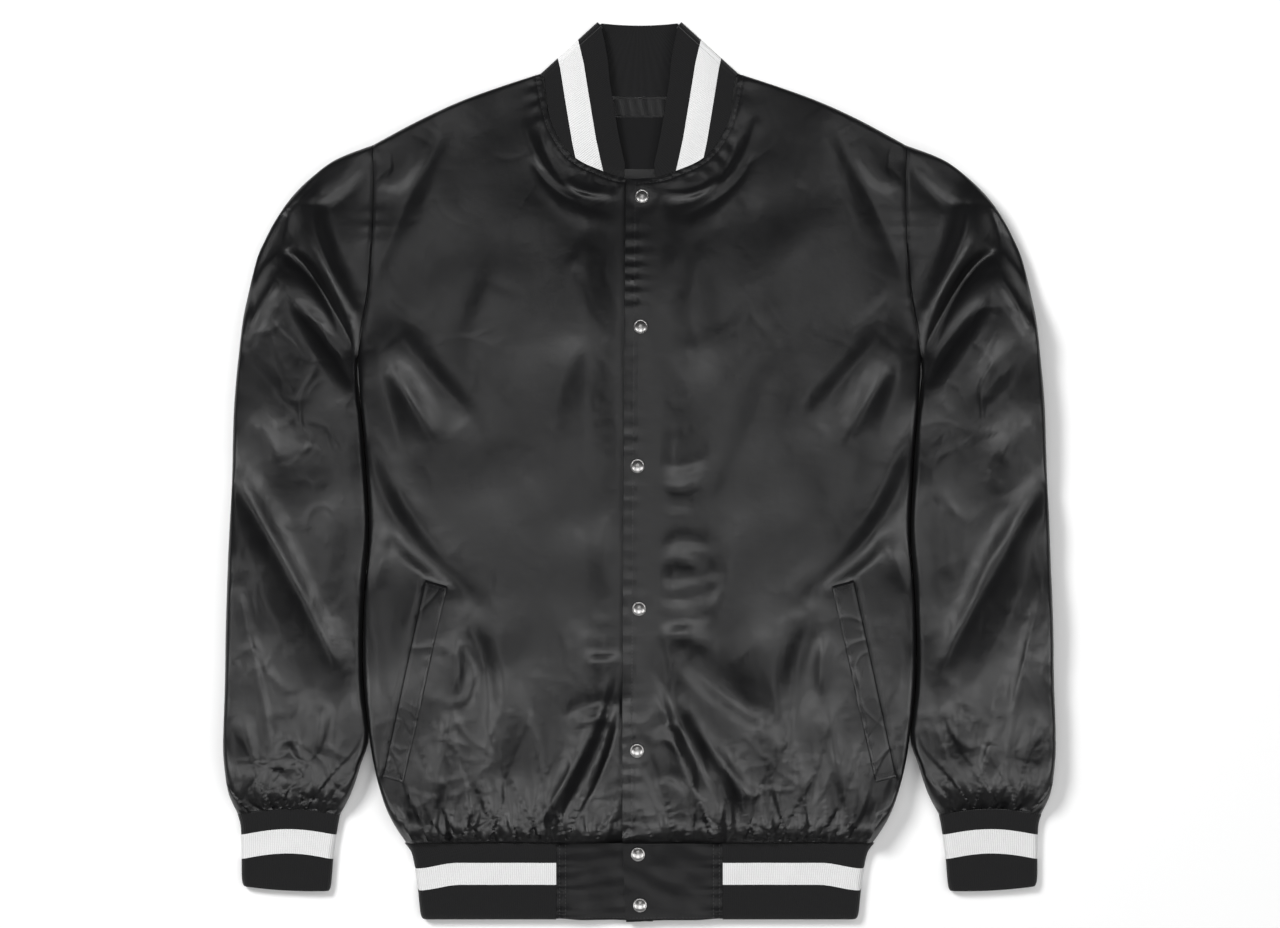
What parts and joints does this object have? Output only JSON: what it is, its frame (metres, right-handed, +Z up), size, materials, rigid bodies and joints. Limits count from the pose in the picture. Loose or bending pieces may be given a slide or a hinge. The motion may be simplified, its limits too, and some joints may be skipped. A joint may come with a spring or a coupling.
{
  "type": "bomber jacket",
  "caption": "Satin bomber jacket laid flat, with set-in sleeves, slanted pockets, a snap front and striped rib knit at collar, cuffs and hem.",
  "frame": {"origin": "middle of the laid jacket's bounding box, on the surface that it lies on", "axes": "+Z up out of the front, +Y towards the collar, +X towards the wearer's left sleeve"},
  "size_m": [0.708, 0.7678, 0.0348],
  "materials": {
    "satin": "black satin, shiny",
    "rib_knit": "black rib knit, matte, with one white stripe",
    "label_cloth": "black woven cloth, dull",
    "snap_metal": "gunmetal grey, polished"
  },
  "bodies": {
    "root": {"back": "satin", "front_left": "satin", "front_right": "satin", "sleeve_left": "satin", "sleeve_right": "satin", "pocket_welt_left": "satin", "pocket_welt_right": "satin", "hem_tab_left": "satin", "hem_tab_right": "satin", "neck_strip": "satin", "neck_label": "label_cloth", "collar": "rib_knit", "cuff_left": "rib_knit", "cuff_right": "rib_knit", "hem_rib": "rib_knit", "snap_cap_1": "snap_metal", "snap_cap_2": "snap_metal", "snap_cap_3": "snap_metal", "snap_cap_4": "snap_metal", "snap_cap_5": "snap_metal", "snap_cap_6": "snap_metal", "snap_cap_7": "snap_metal"}
  },
  "joints": []
}
